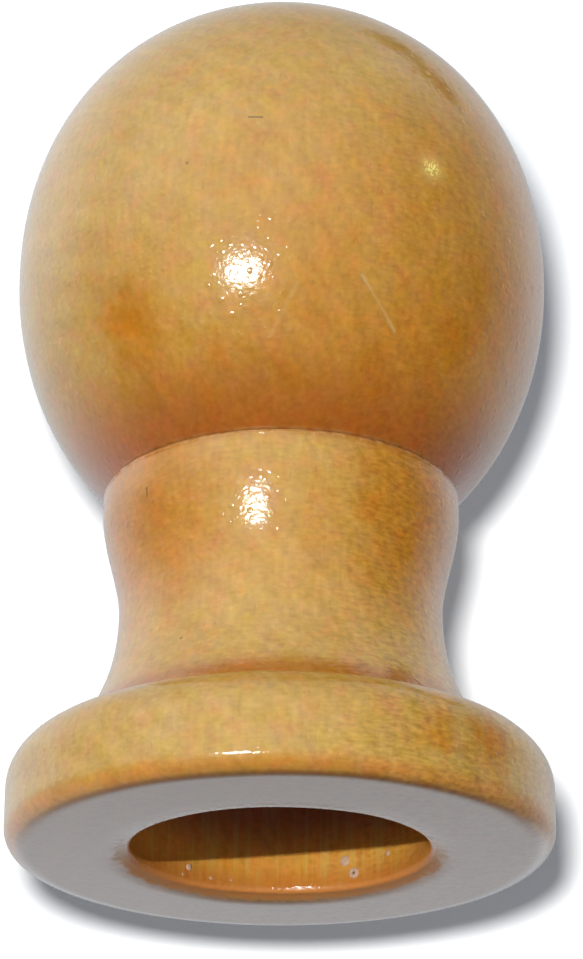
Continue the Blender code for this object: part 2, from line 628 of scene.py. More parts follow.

# %% [markdown]
# ## The wood's colour
#
# The wood is pale and close-grained, with its fibres running up the axis, under a lacquer that turns
# it amber. One colour with noise would look like plastic, so the colour is built as wood is. First
# come the broad changes: where the amber is deep, partly the wood's tone and partly painted shade;
# painted shade at the foot of the ball and in the creases; and patches where the wood took up more
# stain, some of them painted shade where the gloss reflects little. Each is a mask that mixes in a
# colour of its own.

# %% Name the wood's colours
TAN = (0.850, 0.500, 0.110)
AMBER = (0.810, 0.338, 0.036)
# Painted shade at the foot of the ball and in the two creases.
PAINTED_SHADE_ORANGE = (0.580, 0.165, 0.020)
# Painted highlight: the pale line along the neck's shoulder.
SHOULDER_HIGHLIGHT_PALE = (0.900, 0.580, 0.220)
EDGE_ORANGE = (1.000, 0.400, 0.070)
# Partly stain, partly painted shade where the gloss reflects little.
STAIN_AND_SHADE = (0.780, 0.290, 0.016)
PORE = (0.400, 0.190, 0.050)
# A darker tint for the flat underside.
UNDERSIDE_TINT = (0.660, 0.520, 0.500)
# The colour of the golden fibres' painted glint.
GOLD_GLINT = (1.000, 0.880, 0.250)
# Dark marks, and the lines of painted shade in the corners.
DARK_MARK_AND_SHADE = (0.200, 0.110, 0.030)
PALE_MARK = (0.950, 0.700, 0.340)
print("amber's green as a share of its red:", round(AMBER[1] / AMBER[0], 2))

# %% Where the wood is amber, partly as painted shade
# Partly the wood's tone, partly painted shade: deeper amber low on the ball, on its right away from
# the key, and on the neck's sides.
AMBER_TOWARDS = (0.0240, 0.0, -0.0290)
AMBER_START = 1.89
AMBER_CLOUD_SIZES = (9.0, 9.0, 14.0)
AMBER_CLOUD_STRENGTH = 1.0
CROWN_HEIGHTS = (73.0, 80.0)
CROWN_AMBER = 0.30
NECK_AMBER_HEIGHTS = (14.0, 24.0)
NECK_AMBER_SIDES = (2.0, 11.0)
NECK_AMBER_FRONT = 0.25
SEAT_BLEND = 0.5


def amber_and_shade_share(place, height):
    """How far the tan wood turns amber, partly its tone and partly painted shade: low on the ball, on
    its right and high on the neck.
    """
    on_ball = vector_math("DOT_PRODUCT", place, AMBER_TOWARDS, 1) + AMBER_START
    on_ball = on_ball + fade(height, *CROWN_HEIGHTS) * CROWN_AMBER
    beside = fade(size_of(rightwards(place)), *NECK_AMBER_SIDES) * (1.0 - NECK_AMBER_FRONT)
    on_neck = fade(height, *NECK_AMBER_HEIGHTS) * (NECK_AMBER_FRONT + beside)
    above = fade(height, NECK_TOP - SEAT_BLEND, NECK_TOP + SEAT_BLEND)
    broad = cloud(stretched(place, *AMBER_CLOUD_SIZES), detail=3.0) - 0.5
    share = on_ball * above + on_neck * (1.0 - above) + broad * AMBER_CLOUD_STRENGTH
    return at_least(at_most(share, 1.0), 0.0)


print("the neck turns amber between these heights in mm:", NECK_AMBER_HEIGHTS)

# %% Where shade is painted at the foot of the ball and in the creases
CREASE_OFFSET = 1.2
CREASE = (FOOT_RADIUS - CREASE_OFFSET, FLANGE_THICKNESS + CREASE_OFFSET)
SEAT = (SEAT_RADIUS, NECK_TOP)
PAINTED_SHADE_HEIGHT = 8.0
PAINTED_SHADE_EDGE = 0.6
PAINTED_SHADE_STRENGTH = 0.9
CREASE_PAINTED_SHADES = ((CREASE, 2.5, 0.72), (SEAT, 1.2, 0.9))


def painted_shade_share(radius, height):
    """How deep the painted shade is at the foot of the ball and in the two creases."""
    above_edge = fade(height, NECK_TOP - PAINTED_SHADE_EDGE, NECK_TOP)
    share = fade(height, NECK_TOP + PAINTED_SHADE_HEIGHT, NECK_TOP) * above_edge * PAINTED_SHADE_STRENGTH
    for ring, reach, strength in CREASE_PAINTED_SHADES:
        share = at_least(share, fade(distance_to_ring(radius, height, ring), reach, 0.0) * strength)
    return share


print("the ball meets the neck at radius and height in mm:", [round(size, 1) for size in SEAT])

# %% Where the wood took up stain, and where shade is painted
# Patches of stain, several of them painted shade where the gloss reflects little.
STAIN_AND_SHADE_PATCHES = {(132, 324): (5.6, 1.00), (215, 350): (3.4, 0.60), (372, 375): (3.8, 0.50),
          (448, 345): (4.8, 0.70), (480, 135): (3.0, 0.30), (500, 205): (3.0, 0.25),
          (152, 508): (3.8, 1.00), (378, 500): (3.8, 0.60), (432, 505): (3.6, 1.00),
          (408, 548): (2.8, 0.50), (492, 742): (4.4, 0.95),
          (440, 732): (3.2, 0.65), (110, 455): (2.5, 0.40)}
RAGGED_SIZE = 1.6
RAGGED_REACH = 5.0


def stain_and_shade_share(place):
    """Ragged patches, partly stain and partly painted shade where the gloss reflects little: 1 in the
    middle of the deepest.
    """
    ragged = (cloud(moved(place, 61, 2, 9), RAGGED_SIZE, detail=3.0) - 0.5) * RAGGED_REACH
    share = ragged * 0.0
    for pixel, (reach, strength) in STAIN_AND_SHADE_PATCHES.items():
        gap = distance_to_point(place, seen_through(pixel)[0]) + ragged
        share = at_least(share, fade(gap, reach, 0.0) * strength)
    return share


print("patches of stain:", len(STAIN_AND_SHADE_PATCHES))

# %% [markdown]
# ## The fine figure
#
# Bands of curl slant across the wood where its fibres wave, and short lines, thin fibres and a mottle
# lie over them. The short lines are partly painted glints, strongest on the right below the ball. Each
# is a soft noise, stretched in its own direction, and together they make one tint that multiplies the
# colour. Blue changes most, as it does through more or less amber lacquer.

# %% Bands and lines across the grain
CURL_ACROSS = (0.77, 0.20, 0.64)
CURL_ALONG = (0.64, 0.10, -0.77)
CURL_WIDTH = 1.3
CURL_LENGTH = 5.0
LINE_SIZES = (0.90, 0.90, 0.30)
# Partly painted glints: the short lines show most on the right, below the ball.
LINES_RIGHT_FROM = (1.0, 12.0)
LINES_BLEND = 2.0
LINES_ANYWHERE = 0.10
LINES_ON_RIGHT = 0.28
LINES_BELOW_BALL = 0.14
LINES_BELOW_ON_RIGHT = 0.34


def curl(place):
    """The slanting bands of curly figure, from 0 to 1."""
    across = vector_math("DOT_PRODUCT", place, CURL_ACROSS, 1) / CURL_WIDTH
    along = vector_math("DOT_PRODUCT", place, CURL_ALONG, 1) / CURL_LENGTH
    return cloud(place.node("ShaderNodeCombineXYZ", {}, {0: across, 1: along}), detail=3.0)


def fine_lines_and_glints(place, height):
    """Short wavy lines across the grain, partly figure and partly painted glints, which show most on
    the right, below the ball.
    """
    lines = cloud(stretched(moved(place, 2, 37, 8), *LINE_SIZES), detail=2.0) - 0.5
    right = fade(rightwards(place), *LINES_RIGHT_FROM)
    below = fade(height, NECK_TOP + LINES_BLEND, NECK_TOP - LINES_BLEND)
    strength = LINES_ANYWHERE + right * LINES_ON_RIGHT + below * LINES_BELOW_BALL
    return lines * (strength + right * below * LINES_BELOW_ON_RIGHT)


print("curl is", round(CURL_LENGTH / CURL_WIDTH, 1), "times as long as it is wide")

# %% The tint that the figure makes
FIBRE_SIZES = (0.55, 0.55, 2.4)
FIBRE_STRENGTH = 0.20
MOTTLE_SIZE = 0.60
MOTTLE_STRENGTH = 0.30
CURL_STRENGTH = 0.34
HUE_SIZE = 1.9
HUE_LEAST = -0.05
DEPTH_SIZE = 1.8
RED_BY_HUE = 0.38
GREEN_BY_SHADE = 1.35
GREEN_BY_HUE = 0.26
BLUE_BY_SHADE = 1.60
BLUE_BY_DEPTH = 1.4


def figure_tint(place, height):
    """The colour that multiplies the wood's: close to white, and a little different everywhere."""
    hue = at_least(cloud(moved(place, 3, 71, 11), HUE_SIZE, detail=2.0) - 0.5, HUE_LEAST)
    depth = cloud(moved(place, 47, 9, 83), DEPTH_SIZE, detail=2.0) - 0.5
    fibres = cloud(stretched(moved(place, 31, 7, 3), *FIBRE_SIZES), detail=1.0) - 0.5
    mottle = cloud(moved(place, 91, 3, 17), MOTTLE_SIZE, detail=2.0) - 0.5
    shade = fibres * FIBRE_STRENGTH + mottle * MOTTLE_STRENGTH
    shade = shade + (curl(place) - 0.5) * CURL_STRENGTH + fine_lines_and_glints(place, height)
    red = 1.0 + shade + hue * RED_BY_HUE
    green = 1.0 + shade * GREEN_BY_SHADE - hue * GREEN_BY_HUE
    blue = 1.0 + shade * BLUE_BY_SHADE + depth * BLUE_BY_DEPTH
    return place.node("ShaderNodeCombineColor", {}, {0: red, 1: green, 2: blue})


print("the tint's finest grain in mm:", min(FIBRE_SIZES + LINE_SIZES))

# %% [markdown]
# ## The wood as a whole
#
# All of it comes together here, from the broadest to the finest. The flange's lower edge is brighter,
# the flat underside is darker, the pores are short dashes along the grain, a pale line along the
# neck's shoulder is a painted highlight, and a thin line of painted shade in each corner tells the eye
# that one curve ends.

# %% Mix the wood's colour
EDGE_OFFSET = 0.5
LOWER_EDGE = (FLANGE_RADIUS - EDGE_OFFSET, EDGE_OFFSET)
EDGE_LOOK = (1.6, 0.0, 0.75, EDGE_ORANGE)
UNDERSIDE_TINT_HEIGHTS = (0.30, 0.05)
UNDERSIDE_TINT_RING = 1.5
PORE_SIZES = (0.30, 0.30, 1.2)
PORE_LOOK = (0.70, 0.77, 0.25, PORE)
# A pale line along the neck's shoulder: a painted highlight.
SHOULDER = (COLLAR_RADIUS - 0.2, NECK_TOP - 0.1)
SHOULDER_WIDTHS = (0.45, 0.1)
SHOULDER_BREAK_SIZE = 0.9
SHOULDER_BREAKS = (0.30, 0.60)
SHOULDER_HIGHLIGHT_STRENGTH = 0.70
# Thin lines of painted shade where the cove meets the flange and where the ball meets the neck.
SHADED_CORNERS = ((FOOT_RADIUS, FLANGE_THICKNESS), SEAT)
CORNER_SHADE_LOOK = (0.40, 0.05, 0.5, DARK_MARK_AND_SHADE)


def broad_colour(place, radius, height):
    """Tan to amber with its stain patches and painted shade, the flange's orange edge and the darker
    underside.
    """
    colour = mix_colour(amber_and_shade_share(place, height), TAN, AMBER)
    colour = mix_colour(stain_and_shade_share(place), colour, STAIN_AND_SHADE)
    colour = mix_colour(painted_shade_share(radius, height), colour, PAINTED_SHADE_ORANGE)
    colour = painted(colour, distance_to_ring(radius, height, LOWER_EDGE), EDGE_LOOK)
    # Darker on the flat underside, out from the mouth.
    beyond_mouth = fade(radius, SOCKET_RADIUS, SOCKET_RADIUS + UNDERSIDE_TINT_RING)
    darker = mix_colour(1.0, colour, UNDERSIDE_TINT, "MULTIPLY")
    return mix_colour(fade(height, *UNDERSIDE_TINT_HEIGHTS) * beyond_mouth, colour, darker)


def wood_colour(place, radius, height):
    """The wood's colour with its figure, its pores, the painted highlight on the shoulder and the fine
    lines of painted shade at its corners.
    """
    colour = broad_colour(place, radius, height)
    colour = mix_colour(1.0, colour, figure_tint(place, height), "MULTIPLY")
    dashes = cloud(stretched(moved(place, 5, 17, 41), *PORE_SIZES), detail=1.0)
    colour = painted(colour, dashes, PORE_LOOK)
    # Painted highlight along the neck's shoulder.
    shoulder = fade(distance_to_ring(radius, height, SHOULDER), *SHOULDER_WIDTHS)
    shoulder = shoulder * fade(cloud(place, SHOULDER_BREAK_SIZE, detail=1.0), *SHOULDER_BREAKS)
    colour = mix_colour(shoulder * SHOULDER_HIGHLIGHT_STRENGTH, colour, SHOULDER_HIGHLIGHT_PALE)
    # Painted shade in each corner.
    for ring in SHADED_CORNERS:
        colour = painted(colour, distance_to_ring(radius, height, ring), CORNER_SHADE_LOOK)
    return colour


print("dark corners:", len(SHADED_CORNERS))

# %% [markdown]
# ## The socket and its worn lip
#
# The bored wall is orange at the mouth, has pale streaks along it and turns darker and less warm
# further in, a painted shade. The pole has rubbed the lip to a raw orange, mostly on the far side. One
# mask picks out the wall by radius and height. The lip has its own, which also makes it rougher later
# on.

# %% Colour the socket
BORE_TINT = (1.180, 0.890, 0.650)
# The tint for painted shade further into the socket: darker and less warm.
BORE_DEPTH_SHADE = (0.500, 0.430, 1.200)
STREAK_LOOK = (0.46, 0.64, 0.75, (1.000, 0.620, 0.130))
MOUTH_LOOK = (3.2, 0.8, 0.70, (0.760, 0.230, 0.035))
LIP_ORANGE = (1.000, 0.370, 0.080)
BORE_EDGES = (0.9, 0.3)
BORE_END_EDGES = (2.0, 1.0)
STREAK_SIZES = (0.6, 0.6, 9.0)
DEEP_HEIGHTS = (3.0, 8.0)
LIP_EDGES = (2.1, 0.9)
LIP_HEIGHTS = (1.0, 0.5)
LIP_RAGGED_SIZE = 1.1
LIP_RAGGED_REACH = 1.6
LIP_FAR_SIDE = (-6.0, 6.0)
LIP_FAR_SHARE = 0.8
LIP_LEAST_SHARE = 0.1


def inside_edges(radius, edges):
    """1 within the socket, fading out between two distances beyond its wall."""
    return fade(radius, SOCKET_RADIUS + edges[0], SOCKET_RADIUS + edges[1])


def lip_share(place, radius, height):
    """The worn lip of the socket, widest on its far side: 1 where most is worn off."""
    ragged = (cloud(place, LIP_RAGGED_SIZE, detail=2.0) - 0.5) * LIP_RAGGED_REACH
    reach = inside_edges(radius + ragged, LIP_EDGES)
    far_side = fade(backwards(place), *LIP_FAR_SIDE)
    return reach * fade(height, *LIP_HEIGHTS) * (far_side * LIP_FAR_SHARE + LIP_LEAST_SHARE)


def bored_colour(colour, lip, place, radius, height):
    """The colour with the orange wall of the socket, its pale streaks, its painted shade further in
    and its worn lip.
    """
    end = fade(height, SOCKET_DEPTH + BORE_END_EDGES[0], SOCKET_DEPTH + BORE_END_EDGES[1])
    streaks = cloud(stretched(moved(place, 7, 7, 7), *STREAK_SIZES), detail=3.0, roughness=0.6)
    wall = mix_colour(1.0, colour, BORE_TINT, "MULTIPLY")
    wall = painted(painted(wall, streaks, STREAK_LOOK), height, MOUTH_LOOK)
    # Painted shade: darker and less warm further in.
    deeper = mix_colour(1.0, wall, BORE_DEPTH_SHADE, "MULTIPLY")
    wall = mix_colour(fade(height, *DEEP_HEIGHTS), wall, deeper)
    colour = mix_colour(inside_edges(radius, BORE_EDGES) * end, colour, wall)
    return mix_colour(lip, colour, LIP_ORANGE)


print("the lip is worn out to a radius in mm of about:", round(SOCKET_RADIUS + LIP_EDGES[0], 1))

# %% Put the marks on the colour
# The golden fibres' painted glint and its painted halo.
CLUSTER_WIDTHS = (1.5, 0.1)
THREAD_SIZES = (0.15, 0.15, 0.24)
THREAD_RANGE = (0.56, 0.64)
THREADS_IN_CLUSTER = 0.12
HALO_REACH = 2.2
HALO_STRENGTH = 0.25
SCRATCH_LOOK = (0.24, 0.05, 0.45, PALE_MARK)
FAINT_LOOK = (0.30, 0.05, 0.15, PALE_MARK)
TICK_LOOK = (0.16, 0.04, 0.7, DARK_MARK_AND_SHADE)
PINHOLE_LOOK = (0.24, 0.08, 0.6, DARK_MARK_AND_SHADE)


def golden_glint_share(place):
    """The golden fibres' painted glint with a painted halo round it: 1 on a fibre."""
    gap = distance_to_point(place, golden_fibre_glint)
    cluster = fade(gap, *CLUSTER_WIDTHS)
    threads = cloud(stretched(place, *THREAD_SIZES), detail=1.0) + cluster * THREADS_IN_CLUSTER
    halo = fade(gap, HALO_REACH, 0.0) * HALO_STRENGTH
    return at_least(cluster * fade(threads, *THREAD_RANGE), halo)


def marked_colour(colour, golden, place):
    """The colour with the scratches, the ticks, the pinholes and the golden fibres' painted glint on
    it.
    """
    for ends, look in ((scratch, SCRATCH_LOOK), (faint_scratch, FAINT_LOOK),
                       (crown_tick, TICK_LOOK), (neck_tick, TICK_LOOK)):
        colour = painted(colour, distance_to_line(place, ends), look)
    for point in pinholes:
        colour = painted(colour, distance_to_point(place, point), PINHOLE_LOOK)
    return mix_colour(golden, colour, GOLD_GLINT)


print("the scratch's greatest width in mm:", 2 * SCRATCH_LOOK[0])

# %% [markdown]
# ## The lacquer
#
# The lacquer is what the eye meets first: a thick gloss that was never polished flat. It has a soft
# orange-peel ripple, brush marks round the neck, a bead under the ball, and specks of dust that dried
# in it as tiny domes. Each dome catches the light at its own angle, which scatters sparkles round the
# highlight. All of it goes into a Bump node, because it is a few hundredths of a millimetre high, too
# small for the mesh. The worn lip is rough, so it hardly shines.

# %% Dust and brush marks
NIB_SPACING = 0.85
NIB_SMALLEST = 0.11
NIB_SPREAD = 0.24
BRUSH_MARK_SIZES = (0.80, 0.80, 0.26)
BRUSH_MARK_HEIGHT = 0.006
NECK_BRUSH_MARK_HEIGHT = 0.024
NECK_BRUSH_RIGHT_FROM = (-1.0, 9.0)
NECK_BRUSH_EDGE = 1.0
BRUSH_PATCH_SIZE = 5.0
BRUSH_PATCH_RANGE = (0.30, 0.65)


def nibs(place):
    """Dust specks under the lacquer: domes of several sizes, from 0 to 1."""
    inputs = {"Vector": place, "Scale": 1 / NIB_SPACING, "Randomness": 1.0}
    cells = place.node("ShaderNodeTexVoronoi", {"feature": "F1"}, inputs)
    tint = Wire(place.tree, cells.socket.node.outputs["Color"])
    chance = place.node("ShaderNodeSeparateColor", {}, {0: tint})
    share = cells * NIB_SPACING / (NIB_SMALLEST + chance * NIB_SPREAD)
    return at_least(1.0 - share * share, 0.0) * chance


def brush_marks(place, height):
    """Short wavy lines round the axis, deeper on the right below the ball, in millimetres."""
    strength = cloud(moved(place, 19, 23, 5), BRUSH_PATCH_SIZE, detail=1.0)
    lines = cloud(stretched(place, *BRUSH_MARK_SIZES), detail=2.0)
    below = fade(height, NECK_TOP, NECK_TOP - NECK_BRUSH_EDGE)
    below = below * fade(rightwards(place), *NECK_BRUSH_RIGHT_FROM)
    depth = BRUSH_MARK_HEIGHT + below * (NECK_BRUSH_MARK_HEIGHT - BRUSH_MARK_HEIGHT)
    return lines * depth * fade(strength, *BRUSH_PATCH_RANGE)


print("largest speck of dust in mm:", 2 * (NIB_SMALLEST + NIB_SPREAD))

# %% Add up the lacquer's relief
PEEL_SIZE = 0.50
PEEL_HEIGHT = 0.022
NIB_HEIGHT = 0.029
SCRATCH_DEPTH = 0.022
GROOVE_WIDTHS = (0.26, 0.03)
BEAD_PLACE = NECK_TOP - 0.40
BEAD_HEIGHT = 0.080
BEAD_WIDTH = 0.30
BEAD_BREAK_SIZE = 1.2
BEAD_BREAKS = (0.35, 0.6)
UNDERSIDE_HEIGHTS = (0.05, 0.50)
UNDERSIDE_SHARE = 0.1
LIP_RING = (SOCKET_RADIUS + 0.5, 0.3)
LIP_RING_WIDTHS = (1.8, 0.3)
LIP_GRAIN_SIZE = 0.5
LIP_GRAIN_HEIGHT = 0.060


def lacquer_height(place, radius, height):
    """The lacquer's relief in millimetres, nearly flat on the underside, with the lip's grain."""
    off_underside = fade(height, *UNDERSIDE_HEIGHTS) * (1.0 - UNDERSIDE_SHARE) + UNDERSIDE_SHARE
    peel = cloud(place, PEEL_SIZE, detail=1.0) * PEEL_HEIGHT
    groove = fade(distance_to_line(place, scratch), *GROOVE_WIDTHS) * SCRATCH_DEPTH
    bead = fade(size_of(height - BEAD_PLACE), BEAD_WIDTH, 0.0)
    bead = bead * fade(cloud(place, BEAD_BREAK_SIZE, detail=1.0), *BEAD_BREAKS)
    relief = peel + nibs(place) * NIB_HEIGHT + brush_marks(place, height)
    relief = relief + bead * BEAD_HEIGHT - groove
    mouth = fade(distance_to_ring(radius, height, LIP_RING), *LIP_RING_WIDTHS)
    worn = cloud(place, LIP_GRAIN_SIZE, detail=1.0) * mouth * LIP_GRAIN_HEIGHT
    return relief * off_underside + worn


print("the bead under the ball stands proud in mm by at most:", BEAD_HEIGHT)

# %% Make the lacquered wood
ROUGHNESS_LEAST = 0.10
SHEEN_SIZE = 3.0
SHEEN_ROUGHNESS = 0.05
LIP_ROUGHNESS = 0.5
GOLD_GLINT_GLOW = 0.35
NO_LIGHT = (0.0, 0.0, 0.0)


def shader_of(material):
    """The Principled shader of a new node material."""
    material.use_nodes = True
    return material.node_tree.nodes["Principled BSDF"]


def feed(wire, shader, socket):
    """Links a wire to a socket of the shader."""
    wire.tree.links.new(wire.socket, shader.inputs[socket])


def object_place(start):
    """The place on a piece in millimetres, in the finial's own frame."""
    place = start.node("ShaderNodeTexCoord", output="Object")
    return vector_math("MULTIPLY", place, (1 / MM,) * 3)


def lacquered_wood():
    """The finial's one finish: figured wood under amber lacquer."""
    material = bpy.data.materials.new("lacquered_wood")
    shader = shader_of(material)
    start = Wire(material.node_tree)
    place = object_place(start)
    parts = start.node("ShaderNodeSeparateXYZ", {}, {0: place})
    height = Wire(start.tree, parts.socket.node.outputs["Z"])
    radius = vector_math("LENGTH", vector_math("MULTIPLY", place, (1.0, 1.0, 0.0)), output=1)
    lip = lip_share(place, radius, height)
    golden = golden_glint_share(place)
    colour = bored_colour(wood_colour(place, radius, height), lip, place, radius, height)
    feed(marked_colour(colour, golden, place), shader, "Base Color")
    sheen = cloud(moved(place, 13, 5, 29), SHEEN_SIZE, detail=1.0)
    feed(ROUGHNESS_LEAST + sheen * SHEEN_ROUGHNESS + lip * LIP_ROUGHNESS, shader, "Roughness")
    relief = {"Strength": 1.0, "Distance": MM, "Height": lacquer_height(place, radius, height)}
    feed(place.node("ShaderNodeBump", {}, relief), shader, "Normal")
    # The golden fibres' painted glint also glows a little, as a painted glow.
    shader.inputs["Emission Strength"].default_value = 1.0
    feed(mix_colour(golden * GOLD_GLINT_GLOW, NO_LIGHT, GOLD_GLINT), shader, "Emission Color")
    return material


finial.data.materials.append(lacquered_wood())
print("nodes in the wood:", len(finial.data.materials[0].node_tree.nodes))

# %% [markdown]
# ## Drops of lacquer in the socket
#
# When the finial was dipped, some lacquer ran into the socket and dried in drops on its wall. They
# stand proud enough to need meshes of their own. Each drop is a low dome, turned like the finial but
# about the wall's own normal, and one has a pinhole where a bubble burst.

# %% Shape one drop
DROP_RINGS = 9
DROP_TURNS = 28
DROP_SINK = 0.05
PINHOLE_SHARE = 0.30


def drop_height(share, height, pinhole):
    """The height of a drop at a share of its radius."""
    dome = height * math.sqrt(max(0.0, 1 - share * share))
    return dome - pinhole * height * math.exp(-(share / PINHOLE_SHARE) ** 2)


def add_drop(places, faces, pixel, radius, height, pinhole):
    """Adds the points and faces of one drop, on the wall that the camera sees at a pixel."""
    centre, out = seen_through(pixel)
    turn = out.to_track_quat("Z", "Y").to_matrix()
    first = len(places)
    places.append((centre + turn @ Vector((0, 0, drop_height(0, height, pinhole) - DROP_SINK))) * MM)
    for ring in range(1, DROP_RINGS + 1):
        share = ring / DROP_RINGS
        for step in range(DROP_TURNS):
            angle = 2 * math.pi * step / DROP_TURNS
            local = Vector((radius * share * math.cos(angle), radius * share * math.sin(angle),
                            drop_height(share, height, pinhole) - DROP_SINK))
            places.append((centre + turn @ local) * MM)
    for step in range(DROP_TURNS):
        following = (step + 1) % DROP_TURNS
        faces.append((first, first + 1 + step, first + 1 + following))
        for ring in range(DROP_RINGS - 1):
            inner = first + 1 + ring * DROP_TURNS
            outer = inner + DROP_TURNS
            faces.append((inner + step, outer + step, outer + following, inner + following))
    rim = first + 1 + (DROP_RINGS - 1) * DROP_TURNS
    faces.append(tuple(reversed(range(rim, rim + DROP_TURNS))))


print("points in one drop:", 1 + DROP_RINGS * DROP_TURNS)

# %% Turn all the drops into one mesh
# Each pixel has the radius and the height of its drop, and how deep its pinhole goes.
DROPS = {(345, 861): (0.52, 0.20, 0.0), (354, 873): (0.55, 0.26, 0.8), (388, 853): (0.30, 0.12, 0.0),
         (189, 867): (0.34, 0.20, 0.0), (183, 874): (0.16, 0.10, 0.0), (211, 878): (0.20, 0.10, 0.0),
         (231, 880): (0.14, 0.08, 0.0)}
BURST_DROP = (354, 873)


def drops_mesh():
    """All the drops as one mesh."""
    places = []
    faces = []
    for pixel, (radius, height, pinhole) in DROPS.items():
        add_drop(places, faces, pixel, radius, height, pinhole)
    mesh = bpy.data.meshes.new("lacquer_drops")
    mesh.from_pydata(places, [], faces)
    mesh.shade_smooth()
    return mesh


dome_mesh = drops_mesh()
print("drops:", len(DROPS), "points:", len(dome_mesh.vertices))

# %% Give the drops their finish
HAZE_DEEP = (0.90, 0.50, 0.24)
HAZE_PALE = (0.92, 0.72, 0.56)
HAZE_SIZE = 0.3
HAZE_ROUGHNESS = 0.08
DRIED_ROUGHNESS = 0.08
BURST_LOOK = (0.22, 0.12, 0.85, DARK_MARK_AND_SHADE)


def dried_lacquer():
    """Cloudy dried lacquer, paler than the wood and as glossy."""
    material = bpy.data.materials.new("dried_lacquer")
    shader = shader_of(material)
    place = object_place(Wire(material.node_tree))
    haze = cloud(place, HAZE_SIZE)
    colour = mix_colour(haze, HAZE_DEEP, HAZE_PALE)
    burst = distance_to_point(place, seen_through(BURST_DROP)[0])
    feed(painted(colour, burst, BURST_LOOK), shader, "Base Color")
    feed(DRIED_ROUGHNESS + haze * HAZE_ROUGHNESS, shader, "Roughness")
    return material


drops = add_piece("lacquer_drops", dome_mesh)
drops.data.materials.append(dried_lacquer())
print("nodes in the drops' finish:", len(drops.data.materials[0].node_tree.nodes))

# %% [markdown]
# ## The stage
#
# The finial stands on a plain pale floor in front of a plain pale board. Both are one-sided: from
# behind, a Transparent shader lets the camera look through. The floor then shows from above but not
# from the low camera, and the board never hides the finial's back. Each glows a little, and glows
# white where it is far from the finial, so that it stays white where no lamp reaches it.

# %% Lay the floor and the board
STAGE_REACH = 1.5
FLOOR_LEVEL = -0.0002
BOARD_PLACE = 0.070
BOARD_FOOT = -0.10
FLOOR_WHITE = (0.90, 0.90, 0.90, 1.0)
BOARD_WHITE = (0.93, 0.93, 0.93, 1.0)
GLOW_NEAR = (0.032, 0.066, 0.106)
FLOOR_GLOW = ((0.0, 0.0, 0.0), 0.070, 0.200)
BOARD_GLOW = ((0.0, BOARD_PLACE, 0.062), 0.050, 0.110)
WHITE_LIGHT = (1.0, 1.0, 1.0)


def one_sided(name, white, glow):
    """White from the front, glowing between two distances from a place, and clear from behind."""
    material = bpy.data.materials.new(name)
    shader = shader_of(material)
    shader.inputs["Base Color"].default_value = white
    shader.inputs["Roughness"].default_value = 1.0
    shader.inputs["Specular IOR Level"].default_value = 0.0
    shader.inputs["Emission Strength"].default_value = 1.0
    start = Wire(material.node_tree)
    place = start.node("ShaderNodeTexCoord", output="Object")
    middle, near, full = glow
    share = fade(distance_to_point(place, middle), near, full)
    feed(mix_colour(share, GLOW_NEAR, WHITE_LIGHT), shader, "Emission Color")
    behind = start.node("ShaderNodeNewGeometry", output="Backfacing")
    clear = start.node("ShaderNodeBsdfTransparent")
    front = Wire(start.tree, shader.outputs[0])
    both = start.node("ShaderNodeMixShader", {}, {0: behind, 1: front, 2: clear})
    material.node_tree.links.new(both.socket, material.node_tree.nodes["Material Output"].inputs[0])
    return material


def add_sheet(name, corners, white, glow):
    """A flat part of the stage that only the camera sees."""
    mesh = bpy.data.meshes.new(name)
    mesh.from_pydata(corners, [], [(0, 1, 2, 3)])
    mesh.materials.append(one_sided(name, white, glow))
    sheet = bpy.data.objects.new(name, mesh)
    bpy.context.scene.collection.objects.link(sheet)
    sheet.visible_diffuse = False
    sheet.visible_glossy = False
    sheet.visible_transmission = False
    sheet.visible_shadow = False
    return sheet


far = STAGE_REACH
floor = add_sheet("floor", [(-far, -far, FLOOR_LEVEL), (far, -far, FLOOR_LEVEL),
                            (far, far, FLOOR_LEVEL), (-far, far, FLOOR_LEVEL)],
                  FLOOR_WHITE, FLOOR_GLOW)
board = add_sheet("board", [(-far, BOARD_PLACE, BOARD_FOOT), (far, BOARD_PLACE, BOARD_FOOT),
                            (far, BOARD_PLACE, far), (-far, BOARD_PLACE, far)],
                  BOARD_WHITE, BOARD_GLOW)
print("stage normals:", floor.data.polygons[0].normal[:], board.data.polygons[0].normal[:])

# %% [markdown]
# ## The light
#
# A small bright key comes from the left of the camera and a little above it, and casts the sharp
# shadow inside the socket. It lights only the matt share of the wood. Two wider lamps beside it are
# seen only in the gloss, where they make the highlights. Soft fills light the sides and the back. The
# floor has its own lamp, and so has the board: a small one close to the camera, which throws the
# finial's shadow straight back.

# %% Make a distant lamp
def towards(azimuth, elevation):
    """The direction to a lamp: azimuth from the camera's side towards +X, elevation up."""
    turn = math.radians(azimuth)
    rise = math.radians(elevation)
    return Vector((math.sin(turn) * math.cos(rise), -math.cos(turn) * math.cos(rise), math.sin(rise)))


def add_lamp(name, lamp, lit):
    """Puts a lamp in the scene that lights only the objects named in lit."""
    thing = bpy.data.objects.new(name, lamp)
    bpy.context.scene.collection.objects.link(thing)
    receivers = bpy.data.collections.new(name + "_lights")
    for receiver in lit:
        receivers.objects.link(receiver)
    thing.light_linking.receiver_collection = receivers
    return thing


def add_sun(name, azimuth, elevation, strength, spread, lit, matt=True, gloss=True):
    """A distant lamp, which lights the matt share of a finish, its gloss or both."""
    lamp = bpy.data.lights.new(name, "SUN")
    lamp.energy = strength
    lamp.angle = math.radians(spread)
    sun = add_lamp(name, lamp, lit)
    sun.rotation_euler = towards(azimuth, elevation).to_track_quat("Z", "Y").to_euler()
    sun.visible_diffuse = matt
    sun.visible_glossy = gloss


print("the camera's side as a direction:", [round(number, 2) for number in towards(0, 0)])

